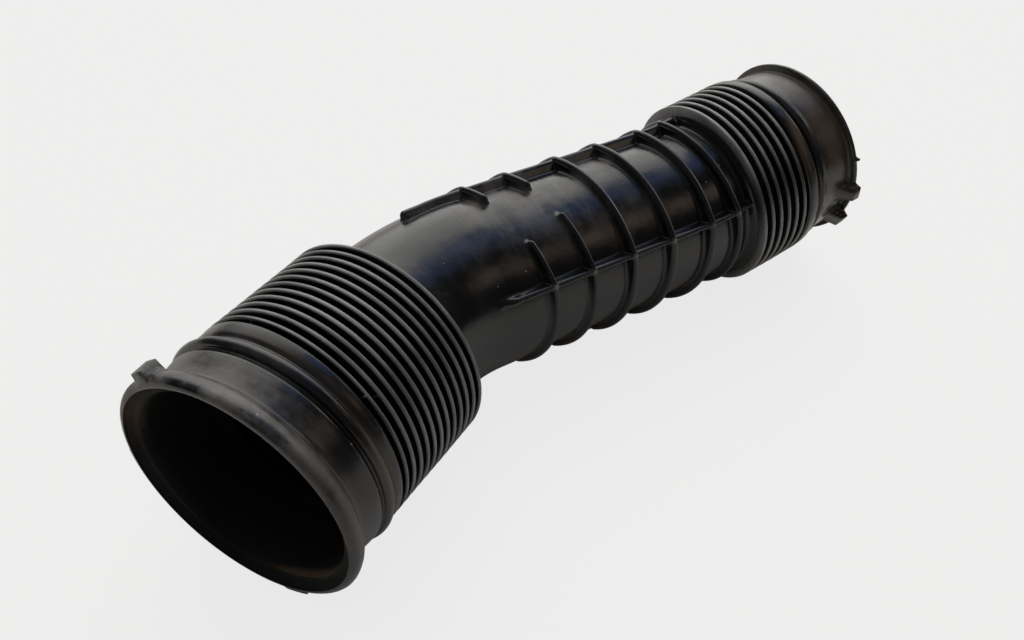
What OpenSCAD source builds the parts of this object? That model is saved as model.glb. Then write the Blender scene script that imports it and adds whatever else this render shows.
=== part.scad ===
// Air intake duct: one moulded rubber tube with a clamp cuff and a bellows at each end,
// joined by a bent smooth tube that carries four lengthwise ribs and six rings.
// The duct lies on its near rim and on both bellows, with the floor at z = 0.

/* [Near cuff] */
// Radius of the bore that slides over the pipe
near_bore_r = 40; // [36:0.5:41]
// Largest radius of the rounded lip round the mouth
near_lip_r = 47.4; // [46:0.1:50]
// Radius at the root of the lip, where the clamp seat starts
near_seat_r = 43; // [42.6:0.1:43.6]
// Rise of the seat from the lip towards the bead
near_seat_rise = 1.3; // [0:0.1:1.6]
// Radius of the rounded bead behind the seat
near_bead_r = 45.8; // [45:0.1:47]
// Distance from the mouth to the root of the lip
near_lip_len = 9.6; // [7:0.1:10]
// Length of the clamp seat
near_seat_len = 9.6; // [8:0.1:14]
// Length of the plain band between the bead and the bellows
near_shoulder_len = 4.8; // [4:0.1:9]
// Turn of the cuff against its bellows, as the soft tube lies
near_cuff_turn = 3; // [1:0.5:6]

/* [Near bellows] */
// Number of crests
near_crests = 12; // [6:1:16]
// Distance from crest to crest
near_pitch = 4.05; // [3.8:0.05:5]
// Outer radius of the crests
near_crest_r = 45; // [44:0.1:46]
// Outer radius of the groove floors
near_floor_r = 40.6; // [40:0.1:42]

/* [Middle tube] */
// Outer radius of the tube in the bend
bend_tube_r = 35.6; // [34:0.1:37]
// Outer radius of the tube between the rings
ring_tube_r = 34.6; // [33:0.1:35]
// Wall thickness of the tube
tube_wall = 2.8; // [2:0.1:3.4]
// Plain length between the near bellows and the bend
lead_len = 3.7; // [2:0.1:20]
// Radius of the main bend
bend_r = 86; // [70:1:140]
// Angle of the main bend
bend_angle = 26.9; // [10:0.1:45]
// Roll of the plane of the main bend about the near axis
bend_roll = 0; // [0:0.02:12]
// Length over which the tube narrows after the bend
taper_len = 12; // [6:0.5:14]
// Length of the straight run from the bend to the small second bend
straight_len = 101; // [100.5:0.1:140]
// Radius of the second bend
kink_r = 60; // [50:5:120]
// Angle of the second bend
kink_angle = 7.5; // [4:0.1:9]
// Roll of the plane of the second bend about the middle axis
kink_roll = 103; // [90:1:120]

/* [Ribs and rings] */
// Angle from the top to the nearest lengthwise rib, to the left when looking ahead
rib_turn = 27; // [0:0.5:45]
// Width of a lengthwise rib
rib_w = 3; // [2:0.1:4]
// Outer radius of the lengthwise ribs
rib_r = 39; // [37:0.1:39.4]
// Start of the upper rib, measured back from the end of the bend
upper_rib_start = 14; // [5:1:34]
// Start of the other ribs, measured back from the end of the bend
side_rib_start = 3; // [2:0.5:30]
// Width of a ring
ring_w = 3.4; // [2:0.1:5]
// Outer radius of a ring midway between two ribs
ring_r = 37.9; // [36.5:0.1:38.4]
// Outer radius of a ring where it crosses a rib
ring_corner_r = 40.2; // [39.6:0.1:41]
// Distance from the end of the bend to the middle of the first ring
ring_start = 10.5; // [10.2:0.1:12]
// Distances from each ring to the next
ring_gaps = [19.5, 23, 20.5, 22]; // [16:0.1:23]
// Lean of each of these rings, its left side back, as the soft tube still bends there
ring_leans = [12.5, 10.5, 5, 4.5, 3]; // [0:0.1:12.5]
// Distance from the end of the second bend to the last ring
last_ring_at = 4.2; // [2:0.1:6]
// Smooth field that interrupts the first ring: how far it reaches to the right and to the left
first_field = [34, 8.5]; // [4:0.5:40]
// Smooth field that interrupts the second ring: how far it reaches to the right and to the left
second_field = [24, 8]; // [4:0.5:40]

/* [Far bellows] */
// Number of crests
far_crests = 6; // [4:1:9]
// Distance from crest to crest
far_pitch = 4.72; // [4.2:0.02:5.5]
// Outer radius of the crests
far_crest_r = 42.7; // [41:0.1:44]
// Outer radius of the groove floors
far_floor_r = 38.2; // [37.9:0.1:39]
// Length of the neck between the second bend and the bellows
neck_len = 13; // [9:0.1:15]
// Length of the wide last band of the bellows
band_len = 6.5; // [4:0.1:8]

/* [Far cuff] */
// Radius of the bore that slides over the pipe
far_bore_r = 36; // [33:0.5:36]
// Largest radius of the rim round the mouth
far_lip_r = 41.8; // [41:0.1:44]
// Radius of the clamp seat next to the rim
far_seat_r = 38.9; // [38.7:0.1:40]
// Rise of the seat from the rim towards the bead
far_seat_rise = 0.8; // [0:0.1:1.2]
// Radius of the low bead behind the seat
far_bead_r = 40.9; // [40.4:0.1:41.5]
// Distance from the mouth to the root of the rim
far_lip_len = 3.6; // [3:0.1:6]
// Length of the clamp seat
far_seat_len = 12.6; // [11:0.1:16]

/* [Bellows wall] */
// Half width of a crest at its tip
crest_half = 0.85; // [0.7:0.05:1]
// Extra half width of a crest at its root
crest_flare = 0.35; // [0.2:0.05:0.5]
// Height of the bevel at a crest's tip
crest_bevel = 0.4; // [0.2:0.05:0.6]
// Thickness of the wall under a groove
floor_wall = 1.8; // [1.4:0.1:2.2]
// Thickness of the wall over the hollow of a crest
tip_wall = 1.6; // [1.2:0.1:2]
// Half width of the hollow inside a crest
hollow_half = 0.35; // [0.2:0.05:0.4]

/* [Lugs] */
// Angle of the large lug on the near lip
near_lug_at = 37; // [30:1:60]
// Width of that lug
near_lug_w = 10; // [8:0.5:20]
// Height of that lug over the lip
near_lug_h = 3.2; // [2:0.1:5]
// Length of that lug along the duct
near_lug_len = 7; // [4:0.5:8]
// Angle of the low nub on the near lip
near_nub_at = 202; // [190:1:240]
// Width of the nub
near_nub_w = 10; // [6:0.5:16]
// Height of the nub over the lip
near_nub_h = 1.2; // [0.5:0.1:2]
// Length of the nub along the duct
near_nub_len = 3.6; // [2:0.1:5]
// Angles of the two lugs on the far rim
far_lug_at = [-92, -115]; // [-120:1:120]
// Width of a far lug
far_lug_w = 9; // [5:0.5:14]
// Height of a far lug over the rim
far_lug_h = 3.4; // [2:0.1:6]
// Length of a far lug along the duct
far_lug_len = 6; // [4:0.5:8]
// Distance from the mouth to a far lug
far_lug_inset = 0.3; // [0.2:0.1:2]

/* [Hidden] */
$fn = 96;
rubber = [0.10, 0.10, 0.11];

// Lip: rounding radius, and the depth of the mouth's recess before the bore's step
near_lip_round = 2.6;
far_lip_round = 1.5;
mouth_recess = 5;
mouth_lead = 1.2;
// Straight pieces reach this far into the curved ones beside them, this much inside their wall
joint = 0.3;
joint_step = 0.1;
// Depth of the feet of ribs and lugs in the wall, and of the feet of the rings
root_depth = 1;
ring_root = 0.5;
// Bead: half width, and the depth and half width of the groove in front of it
bead_half = 2.4;
groove_depth = 0.9;
groove_half = 0.8;

// Cone from the near bellows to the bend: its length, and how far its inner face lies back
cone_len = 5.5;
cone_shift = 0.5;
neck_cone_len = 1.6;
// Half width of the groove floor next to a band
floor_half = 0.4;

// Stations along the near straight, from the cuff's turn onwards
near_first = near_shoulder_len / 2 + crest_half + 2 * crest_flare + floor_half + groove_half / 2;
near_last = near_first + (near_crests - 1) * near_pitch;
near_cone_end = near_last + cone_len;
near_band_r = near_crest_r - crest_bevel;
near_mouth_step = 1;
lead_wall = tube_wall - 2 * joint_step;
// Degrees of the bend per unit of its length
bend_step = 180 / (PI * bend_r);
near_len = near_cone_end + lead_len;
near_cuff_len = near_lip_len + near_seat_len + 2 * groove_half + 2 * bead_half;
turn_r = 180 * near_shoulder_len / (PI * near_cuff_turn);

// Stations along the far straight, from the end of the second bend
far_first = neck_len + 2;
far_last = far_first + (far_crests - 1) * far_pitch;
far_band_end = far_last + far_pitch / 2 + band_len;
far_mouth = far_band_end + 4 * groove_half + 2 * bead_half + far_seat_len + far_lip_len;

// The near end lies on its lip and its last crest, so its axis dips by this much
near_dip = atan((near_lip_r - near_crest_r) / (near_last + near_shoulder_len + near_cuff_len - near_lip_round));
// Heading of the near cuff that brings the middle tube along X
near_heading = near_cuff_turn + bend_angle;

// Turns of a point about the three axes
function turned_x(p, a) = [p.x, p.y * cos(a) - p.z * sin(a), p.y * sin(a) + p.z * cos(a)];
function turned_y(p, a) = [p.x * cos(a) + p.z * sin(a), p.y, p.z * cos(a) - p.x * sin(a)];
function turned_z(p, a) = [p.x * cos(a) - p.y * sin(a), p.x * sin(a) + p.y * cos(a), p.z];

// Where a point of each local frame lies once the duct rests, before it is centred
function past_bend(p, r, a) = turned_z(p, -a) + [r * sin(a), -r * (1 - cos(a)), 0];
function from_cuff(p) = turned_z(turned_y(p, near_dip), near_heading);
function from_bellows(p) = from_cuff(past_bend(p, turn_r, near_cuff_turn));
function from_bend(p) = from_bellows([near_len, 0, 0] + turned_x(p, -bend_roll));
function from_straight(p) = from_bend(past_bend(turned_x(p, bend_roll), bend_r, bend_angle));
function from_kink(p) = from_straight([straight_len, 0, 0] + turned_x(p, -kink_roll));
function from_far_end(p) = from_kink(past_bend(turned_x(p, kink_roll), kink_r, kink_angle));

// The round edges that bound the duct: centre, a point one further along the axis, radius
near_edge_x = near_lip_round - near_cuff_len;
edges = [
    [from_cuff([near_edge_x, 0, 0]), from_cuff([near_edge_x + 1, 0, 0]), near_lip_r],
    [from_cuff([-near_cuff_len, 0, 0]), from_cuff([1 - near_cuff_len, 0, 0]), near_lip_r - near_lip_round],
    [from_bellows([near_last, 0, 0]), from_bellows([near_last + 1, 0, 0]), near_crest_r],
    [from_far_end([far_first, 0, 0]), from_far_end([far_first + 1, 0, 0]), far_crest_r],
    [from_far_end([far_mouth, 0, 0]), from_far_end([far_mouth + 1, 0, 0]), far_lip_r - far_lip_round]
];
// How far a round edge reaches from its centre along axis i
function reach(edge, i) = edge[2] * sqrt(1 - pow((edge[1] - edge[0])[i], 2));
lows = [for (i = [0:2]) min([for (e = edges) e[0][i] - reach(e, i)])];
highs = [for (i = [0:2]) max([for (e = edges) e[0][i] + reach(e, i)])];
// Moves the middle of the outline over the origin and its lowest edge onto the floor
to_origin = -[(lows.x + highs.x) / 2, (lows.y + highs.y) / 2, lows.z];

// Points on an arc, in degrees from start to end
function arc(cx, cr, r, from, to, steps = 6) =
    [for (i = [0:steps]) let (a = from + (to - from) * i / steps) [cx + r * cos(a), cr + r * sin(a)]];

// Outer outline of the crests: out over each tip and back to the groove floor
function crest_outline(first, count, pitch, tip_r, floor_r) =
    [for (i = [0:count - 1], p = [
        [-crest_half - crest_flare, floor_r],
        [-crest_half, tip_r - crest_bevel],
        [-crest_half + crest_bevel, tip_r],
        [crest_half - crest_bevel, tip_r],
        [crest_half, tip_r - crest_bevel],
        [crest_half + crest_flare, floor_r]
    ]) [first + i * pitch + p[0], p[1]]];

// Inner outline of the crests: the narrow hollow under each tip
function hollow_outline(first, count, pitch, tip_r, floor_r) =
    [for (i = [0:count - 1], p = [
        [-hollow_half - crest_flare / 2, floor_r - floor_wall],
        [-hollow_half, tip_r - tip_wall],
        [hollow_half, tip_r - tip_wall],
        [hollow_half + crest_flare / 2, floor_r - floor_wall]
    ]) [first + i * pitch + p[0], p[1]]];

function reversed(points) = [for (i = [len(points) - 1:-1:0]) points[i]];

// Outline points are [distance along the axis, radius]; this swaps them for revolving
function swapped(points) = [for (p = points) [p[1], p[0]]];

// Closed wall between an outer and an inner outline, revolved about the X axis
module revolved_wall(outer, inner) {
    rotate([0, 90, 0])
        rotate_extrude()
            polygon(swapped(concat(outer, reversed(inner))));
}

// Flat section of the tube's wall, x to the left and y up
module tube_section(r) {
    difference() {
        circle(r);
        circle(r - tube_wall);
    }
}

// Flat section of one lengthwise rib, rooted in the wall and made smaller all round by a step
module rib_section(at, step = 0) {
    foot_r = ring_tube_r - root_depth + step;
    rotate(-at)
        translate([step - rib_w / 2, foot_r])
            square([rib_w - 2 * step, rib_r - step - foot_r]);
}

// Carries a flat section straight ahead along X
module carried_straight(from, to) {
    translate([from, 0, 0])
        rotate([90, 0, 90])
            linear_extrude(to - from)
                children();
}

// Carries a flat section round a bend to the right that leaves the origin ahead along X
module carried_round(r, from, to) {
    translate([0, -r, 0])
        rotate([0, 0, 90 - to])
            rotate_extrude(angle = to - from)
                translate([r, 0])
                    children();
}

// Places children after a bend to the right
module after_bend(r, angle) {
    translate([r * sin(angle), -r * (1 - cos(angle)), 0])
        rotate([0, 0, -angle])
            children();
}

// Frames along the duct: each starts where the piece before it ends
module at_near_bellows() {
    after_bend(turn_r, near_cuff_turn)
        children();
}

module at_main_bend() {
    at_near_bellows()
        translate([near_len, 0, 0])
            rotate([-bend_roll, 0, 0])
                children();
}

module at_straight() {
    at_main_bend()
        after_bend(bend_r, bend_angle)
            rotate([bend_roll, 0, 0])
                children();
}

module at_kink() {
    at_straight()
        translate([straight_len, 0, 0])
            rotate([-kink_roll, 0, 0])
                children();
}

module at_far_end() {
    at_kink()
        after_bend(kink_r, kink_angle)
            rotate([kink_roll, 0, 0])
                children();
}

// Rounded lip, clamp seat, groove and bead, from the mouth at x = 0 towards the bellows
function near_cuff_outline() =
    let (
        seat_end = near_lip_len + near_seat_len,
        bead_at = seat_end + 2 * groove_half + bead_half,
        seat_end_r = near_seat_r + near_seat_rise,
        groove_r = seat_end_r - groove_depth
    )
    concat(
        arc(near_lip_round, near_lip_r - near_lip_round, near_lip_round, 180, 40),
        [[near_lip_len, near_seat_r], [seat_end, seat_end_r]],
        [[seat_end + groove_half, groove_r], [seat_end + 2 * groove_half, groove_r]],
        arc(bead_at, near_bead_r - bead_half, bead_half, 160, 20),
        [[near_cuff_len + joint, groove_r]]
    );

module near_cuff() {
    translate([-near_cuff_len, 0, 0])
        revolved_wall(
            near_cuff_outline(),
            [
                [0, near_bore_r + mouth_lead + 2],
                [mouth_recess, near_bore_r + mouth_lead],
                [mouth_recess, near_bore_r],
                [near_cuff_len + joint, near_bore_r]
            ]
        );
}

// Plain band between the bead and the bellows, wedge shaped because the cuff is turned
module near_shoulder() {
    carried_round(turn_r, 0, near_cuff_turn)
        difference() {
            circle(near_band_r);
            circle(near_bore_r - joint_step);
        }
}

module near_bellows() {
    inner_r = near_floor_r - floor_wall;
    lead_r = bend_tube_r - joint_step;
    revolved_wall(
        concat(
            [[-joint, near_band_r - joint_step], [near_first - near_pitch / 2 - floor_half, near_crest_r]],
            [[near_first - near_pitch / 2, near_floor_r]],
            crest_outline(near_first, near_crests, near_pitch, near_crest_r, near_floor_r),
            [[near_cone_end, lead_r], [near_len + joint, lead_r]]
        ),
        concat(
            [[-joint, near_bore_r], [near_mouth_step, inner_r]],
            hollow_outline(near_first, near_crests, near_pitch, near_crest_r, near_floor_r),
            [[near_cone_end - cone_shift, lead_r - lead_wall], [near_len + joint, lead_r - lead_wall]]
        )
    );
}

module main_bend() {
    carried_round(bend_r, 0, bend_angle)
        tube_section(bend_tube_r);
}

module straight_tube() {
    start_r = bend_tube_r - joint_step;
    end_r = ring_tube_r - joint_step;
    revolved_wall(
        [[-joint, start_r], [taper_len, end_r], [straight_len + joint, end_r]],
        [
            [-joint, start_r - lead_wall],
            [taper_len, end_r - lead_wall],
            [straight_len + joint, end_r - lead_wall]
        ]
    );
}

module kink() {
    carried_round(kink_r, 0, kink_angle) {
        tube_section(ring_tube_r);
        for (i = [0:3])
            rib_section(rib_turn + 90 * i - kink_roll);
    }
}

// Neck, bellows, wide band, bead, clamp seat and rim of the far end
module far_end() {
    inner_r = far_floor_r - floor_wall;
    neck_r = ring_tube_r - joint_step;
    groove_r = far_seat_r - groove_depth / 2;
    far_band_start = far_last + far_pitch / 2 + floor_half;
    bead_at = far_band_end + 3 * groove_half + bead_half;
    seat_start = bead_at + bead_half + groove_half;
    seat_end = seat_start + far_seat_len;
    revolved_wall(
        concat(
            [[-joint, neck_r], [neck_len - neck_cone_len, neck_r]],
            crest_outline(far_first, far_crests, far_pitch, far_crest_r, far_floor_r),
            [[far_band_start, far_floor_r], [far_band_start + crest_bevel, far_crest_r]],
            [[far_band_end, far_crest_r - crest_bevel], [far_band_end + groove_half, groove_r]],
            [[far_band_end + 2 * groove_half, groove_r]],
            arc(bead_at, far_bead_r - bead_half, bead_half, 160, 30),
            [[seat_start, far_seat_r + far_seat_rise], [seat_end, far_seat_r]],
            arc(far_mouth - far_lip_round, far_lip_r - far_lip_round, far_lip_round, 130, 0)
        ),
        concat(
            [[-joint, neck_r - lead_wall], [neck_len - neck_cone_len + cone_shift, neck_r - lead_wall]],
            hollow_outline(far_first, far_crests, far_pitch, far_crest_r, far_floor_r),
            [[far_band_end - 2 * mouth_lead, inner_r], [far_band_end - mouth_lead, far_bore_r]],
            [[far_mouth - mouth_lead, far_bore_r], [far_mouth, far_bore_r + mouth_lead]]
        )
    );
}

// Outline of a ring: four flat arcs that rise to a rounded corner at each rib
module ring_outline() {
    shift = (ring_corner_r * ring_corner_r - ring_r * ring_r) / (2 * ring_r - 2 * ring_corner_r * cos(45));
    intersection_for (i = [0:3])
        rotate(45 - rib_turn + 90 * i)
            translate([shift, 0])
                circle(ring_r + shift);
}

// Ring rooted in the wall, with a smooth field cut out of its top, to the right and to the left
module ring(field = [0, 0]) {
    far = 2 * ring_r;
    carried_straight(-ring_w / 2, ring_w / 2)
        difference() {
            ring_outline();
            circle(ring_tube_r - ring_root);
            if (field[0] > 0)
                polygon([
                    [0, 0],
                    far * [-sin(field[0]), cos(field[0])],
                    [0, far],
                    far * [sin(field[1]), cos(field[1])]
                ]);
        }
}

module rings() {
    fields = [first_field, second_field, [0, 0], [0, 0], [0, 0]];
    for (i = [0:len(ring_gaps)])
        translate([ring_start + (i == 0 ? 0 : ring_gaps * [for (j = [0:3]) j < i ? 1 : 0]), 0, 0])
            rotate([0, 0, ring_leans[i]])
                ring(fields[i]);
}

// Four lengthwise ribs: round the end of the bend, along the straight, and up to the far bellows
module bend_ribs() {
    for (i = [0:3])
        carried_round(
            bend_r,
            bend_angle - (i == 0 ? upper_rib_start : side_rib_start) * bend_step,
            bend_angle + joint * bend_step
        )
            rib_section(rib_turn + 90 * i - bend_roll);
}

module straight_ribs() {
    for (i = [0:3])
        carried_straight(-2 * joint, straight_len + 2 * joint)
            rib_section(rib_turn + 90 * i, joint_step);
}

module neck_ribs() {
    for (i = [0:3])
        carried_straight(-2 * joint, neck_len - neck_cone_len / 4)
            rib_section(rib_turn + 90 * i, joint_step);
}

// Block that stands on a lip: at an angle to the left of the top, around station x
module lug(at, x, w, length, foot_r, top_r) {
    carried_straight(x - length / 2, x + length / 2)
        rotate(-at)
            translate([-w / 2, foot_r])
                square([w, top_r - foot_r]);
}

module lugs() {
    translate([-near_cuff_len, 0, 0]) {
        lug(
            near_lug_at, near_lip_round / 2 + near_lug_len / 2,
            near_lug_w, near_lug_len, near_seat_r - root_depth, near_lip_r + near_lug_h
        );
        lug(
            near_nub_at, near_lip_round,
            near_nub_w, near_nub_len, near_seat_r - root_depth, near_lip_r + near_nub_h
        );
    }
    at_far_end()
        for (at = far_lug_at)
            lug(
                at, far_mouth - far_lug_inset - far_lug_len / 2,
                far_lug_w, far_lug_len, far_seat_r - root_depth, far_lip_r + far_lug_h
            );
}

// Tube between the bellows, with its ribs and rings
module middle() {
    at_main_bend() {
        main_bend();
        bend_ribs();
    }
    at_straight() {
        straight_tube();
        straight_ribs();
        rings();
    }
    at_kink()
        kink();
    at_far_end() {
        neck_ribs();
        translate([last_ring_at, 0, 0])
            ring();
    }
}

module near_end() {
    near_cuff();
    near_shoulder();
    at_near_bellows()
        near_bellows();
}

// The whole duct in the frame of its near cuff, looking ahead along X
module duct() {
    union() {
        near_end();
        lugs();
    }
    union() {
        middle();
    }
    at_far_end()
        far_end();
}

module intake_duct() {
    color(rubber)
        translate(to_origin)
            rotate([0, near_dip, near_heading])
                duct();
}

intake_duct();
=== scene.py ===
"""Looks of an air intake duct: one moulded black rubber piece, lying on a pale floor.

The duct is a profile of two radii, outside and inside the wall, carried along a bent path.
Lengths are in millimetres until a mesh is written, and then in metres. Angles round the duct
are in degrees from its top, to the left when looking ahead from the near mouth.
"""

from math import cos, pi, radians, sin

import bpy
import numpy as np
from mathutils import Matrix


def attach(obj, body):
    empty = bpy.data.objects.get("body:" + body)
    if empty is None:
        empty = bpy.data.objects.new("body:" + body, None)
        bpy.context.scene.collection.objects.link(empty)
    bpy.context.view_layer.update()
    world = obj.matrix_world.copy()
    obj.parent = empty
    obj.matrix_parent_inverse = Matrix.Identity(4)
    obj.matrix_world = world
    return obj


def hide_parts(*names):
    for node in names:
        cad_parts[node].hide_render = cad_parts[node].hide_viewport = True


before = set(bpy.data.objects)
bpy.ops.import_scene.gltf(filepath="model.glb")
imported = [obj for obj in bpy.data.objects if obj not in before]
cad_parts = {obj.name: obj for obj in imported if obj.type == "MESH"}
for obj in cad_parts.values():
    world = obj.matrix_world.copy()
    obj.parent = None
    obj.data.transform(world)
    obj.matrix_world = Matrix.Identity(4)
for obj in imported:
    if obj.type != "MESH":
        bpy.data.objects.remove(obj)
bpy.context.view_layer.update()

# The path: centre of the near mouth, heading and dip of the near cuff, and the stretches that
# follow it, each a length, a turn to the right and the roll of the plane of that turn
MOUTH = np.array([-139.683, -27.115, 47.458])
HEADING, DIP = 29.9, 1.783
CUFF_LEN, SHOULDER_LEN, NEAR_LEN, STRAIGHT_LEN, FAR_LEN = 25.6, 4.8, 58.5, 101.0, 71.66
BEND_R, BEND_TURN = 86.0, 26.9
KINK_R, KINK_TURN, KINK_ROLL = 60.0, 7.5, 103.0
BEND_LEN = BEND_R * radians(BEND_TURN)
KINK_LEN = KINK_R * radians(KINK_TURN)
STRETCHES = [
    (CUFF_LEN, 0, 0),
    (SHOULDER_LEN, 3.0, 0),
    (NEAR_LEN, 0, 0),
    (BEND_LEN, BEND_TURN, 0),
    (STRAIGHT_LEN, 0, 0),
    (KINK_LEN, KINK_TURN, KINK_ROLL),
    (FAR_LEN, 0, 0),
]

# Stations along the path
BELLOWS_AT = CUFF_LEN + SHOULDER_LEN
BEND_AT = BELLOWS_AT + NEAR_LEN
STRAIGHT_AT = BEND_AT + BEND_LEN
KINK_AT = STRAIGHT_AT + STRAIGHT_LEN
FAR_AT = KINK_AT + KINK_LEN
END = FAR_AT + FAR_LEN

# Near cuff: lip, clamp seat and bead
BORE_R, LIP_R, LIP_ROUND, LIP_LEN = 40.0, 47.4, 2.6, 9.6
SEAT_R, SEAT_END, SEAT_END_R = 43.0, 19.2, 44.3
BEAD_AT, BEAD_R, BEAD_ROUND = 23.2, 45.8, 2.4

# The two bellows: number of crests, pitch, first crest, and radii of crests and grooves
NEAR_CRESTS, NEAR_PITCH, NEAR_FIRST = 12, 4.05, BELLOWS_AT + 4.75
FAR_CRESTS, FAR_PITCH, FAR_FIRST = 6, 4.72, FAR_AT + 15.0
NEAR_LAST = NEAR_FIRST + (NEAR_CRESTS - 1) * NEAR_PITCH
NEAR_CREST_R, NEAR_FLOOR_R = 45.0, 40.6
FAR_CREST_R, FAR_FLOOR_R = 42.7, 38.2
NEAR_BELLOWS = (NEAR_FIRST, NEAR_CRESTS, NEAR_PITCH, NEAR_CREST_R, NEAR_FLOOR_R)
FAR_BELLOWS = (FAR_FIRST, FAR_CRESTS, FAR_PITCH, FAR_CREST_R, FAR_FLOOR_R)
# Wall under a groove, and the depth of the hollow in a crest as a share of the crest's height
FLOOR_WALL, HOLLOW_SHARE = 1.8, 0.55

# Far end: neck, wide band, bead, clamp seat and rim
NECK_END = FAR_AT + 11.4
BAND_START, BAND_END = FAR_AT + 41.36, FAR_AT + 47.46
FAR_BEAD_AT, FAR_BEAD_R = FAR_AT + 52.26, 40.9
FAR_SEAT_START, FAR_SEAT_END = FAR_AT + 55.46, END - 3.6
FAR_SEAT_R, FAR_SEAT_RISE, RIM_R, RIM_ROUND, FAR_BORE_R = 38.9, 0.8, 41.8, 1.5, 36.0

# Middle tube with its ribs and rings
BEND_TUBE_R, RING_TUBE_R, WALL, TAPER_LEN = 35.6, 34.6, 2.8, 12.0
RIB_AT = 27.0 + 90.0 * np.arange(4)
RIB_R, RIB_HALF = 39.0, 1.5
UPPER_RIB_START, SIDE_RIB_START = STRAIGHT_AT - 18.5, STRAIGHT_AT - 3.0
RING_AT = STRAIGHT_AT + 10.5 + np.cumsum([0, 19.5, 23.0, 20.5, 22.0])
RING_AT = np.append(RING_AT, FAR_AT + 4.2)
RING_LEANS = [12.5, 10.5, 5.0, 4.5, 3.0, 0.0]
RING_R, RING_CORNER_R, RING_HALF = 37.9, 40.2, 1.7
# Smooth fields that interrupt the first two rings: from the right end to the left end
RING_FIELDS = [(-34.0, 8.5), (-24.0, 8.0)]
# The same two rings are slimmer at the right, by this share and round this angle
SLIM_SHARE, SLIM_AT = 0.28, -60.0
# Fillets where a ring crosses a rib, and where both meet the tube
CROSSING_FILLET, FOOT_FILLET = 0.3, 0.35

# Blocks on the near lip and the far rim: first and last station, first and last angle, top radius
BLOCKS = [
    (0.9, 7.9, 32.6, 40.6, LIP_R + 2.7),
    (1.6, 6.4, 28.4, 32.4, LIP_R + 0.9),
    (0.8, 4.6, 97.0, 121.0, LIP_R + 0.4),
    (0.8, 4.4, 196.0, 208.0, LIP_R + 1.2),
    (END - 5.6, END - 0.5, 265.5, 274.3, RIM_R + 2.9),
    (END - 5.6, END - 0.5, 241.3, 250.1, RIM_R + 2.9),
    (END - 1.9, END - 0.5, 290.8, 292.8, RIM_R + 1.8),
]

# Waves of the soft wall: height, reach along the duct, waves round it, and where they begin
WAVES = [(0.08, 23.0, 2, 0.7), (0.05, 11.0, -3, 2.1), (0.03, 5.3, 5, 0.0)]
# The soft lip and rim aren't square to the path: by how much, and at which angle most
LIP_SKEW, LIP_SKEW_AT = 0.3, 170.0
RIM_SKEW, RIM_SKEW_AT = 0.3, -75.0

# Steps of the grid: rows outside and inside the plain tube, and columns in degrees
OUTER_STEP, INNER_STEP, COLUMN_STEP = 3.5, 7.0, 3.6
# Radius at which the wall is laid straight for the patterns on it
PATTERN_R = 40.0


def along(start, t, length, turn, roll):
    """Centre and axes (ahead, left, up) after going t along one stretch.

    A straight stretch moves the centre t ahead. A turn of angle a on radius R moves it
    R sin a ahead and R (1 - cos a) to the right in a plane rolled by the given angle, and
    turns ahead and left by a in that plane.
    """
    centre, ahead, left, up = start
    t = np.asarray(t, float)[:, None]
    if turn == 0:
        return centre + t * ahead, ahead + 0 * t, left + 0 * t, up + 0 * t
    radius = length / radians(turn)
    a = t / radius
    c, s = cos(radians(roll)), sin(radians(roll))
    side, over = c * left - s * up, s * left + c * up
    new_side = np.sin(a) * ahead + np.cos(a) * side
    return (
        centre + radius * (np.sin(a) * ahead - (1 - np.cos(a)) * side),
        np.cos(a) * ahead - np.sin(a) * side,
        c * new_side + s * over,
        c * over - s * new_side,
    )


def path(stations):
    """Centre, left and up vectors of the path at every station, stretch after stretch."""
    h, d = radians(HEADING), radians(DIP)
    ahead = np.array([cos(h) * cos(d), sin(h) * cos(d), -sin(d)])
    left = np.array([-sin(h), cos(h), 0])
    start = (MOUTH, ahead, left, np.cross(ahead, left))
    centre, lefts, ups = (np.zeros((len(stations), 3)) for _ in range(3))
    begin = 0.0
    for length, turn, roll in STRETCHES:
        here = (stations >= begin - 1e-9) | (begin == 0)
        found = along(start, stations[here] - begin, length, turn, roll)
        centre[here], lefts[here], ups[here] = found[0], found[2], found[3]
        start = tuple(v[0] for v in along(start, [length], length, turn, roll))
        begin += length
    return centre, lefts, ups


def soft_max(a, b, width):
    """The larger of a and b, blended over a width so that the two meet in a fillet."""
    h = np.clip(0.5 + 0.5 * (a - b) / width, 0, 1)
    return b + (a - b) * h + width * h * (1 - h)


def smooth(x, low, high):
    """Rises from 0 at low to 1 at high along the curve 3t^2 - 2t^3."""
    t = np.clip((x - low) / (high - low), 0, 1)
    return t * t * (3 - 2 * t)


def bell(distance, reach):
    """1 at no distance, falling as e to the power of -(distance / reach)^2."""
    return np.exp(-((distance / reach) ** 2))


def turned(angle):
    """The angle brought between -180 and 180."""
    return (angle + 180) % 360 - 180


def ridge(distance, half):
    """Height, from 0 to 1, of a moulded ridge at a distance from its middle line: the half
    ellipse (1 - (d / w)^2)^(1/2), a little wider than the ridge, with a filleted foot."""
    width = 1.22 * half
    dome = np.sqrt(1 - 0.97 * np.minimum(distance / width, 1) ** 2)
    return dome * (1 - smooth(distance, half - 0.1, half + 0.75))


def arc(x, r, radius, first, last, count=7):
    """Stations and radii on an arc round (x, r), from one angle to another, in degrees."""
    a = np.radians(np.linspace(first, last, count))
    return np.stack([x + radius * np.cos(a), r + radius * np.sin(a)], axis=1)


def beside(at, radius, *steps):
    """Profile points next to a station and a radius: each a step along and a step outwards."""
    return np.array([at, radius]) + np.array(steps)


def every_pitch(first, count, pitch, x, radius):
    """Profile points at x before or behind a crest, repeated at every crest of a bellows."""
    station = first + pitch * np.arange(count)[:, None] + x
    return np.stack([station.ravel(), np.tile(radius, count)], axis=1)


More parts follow.
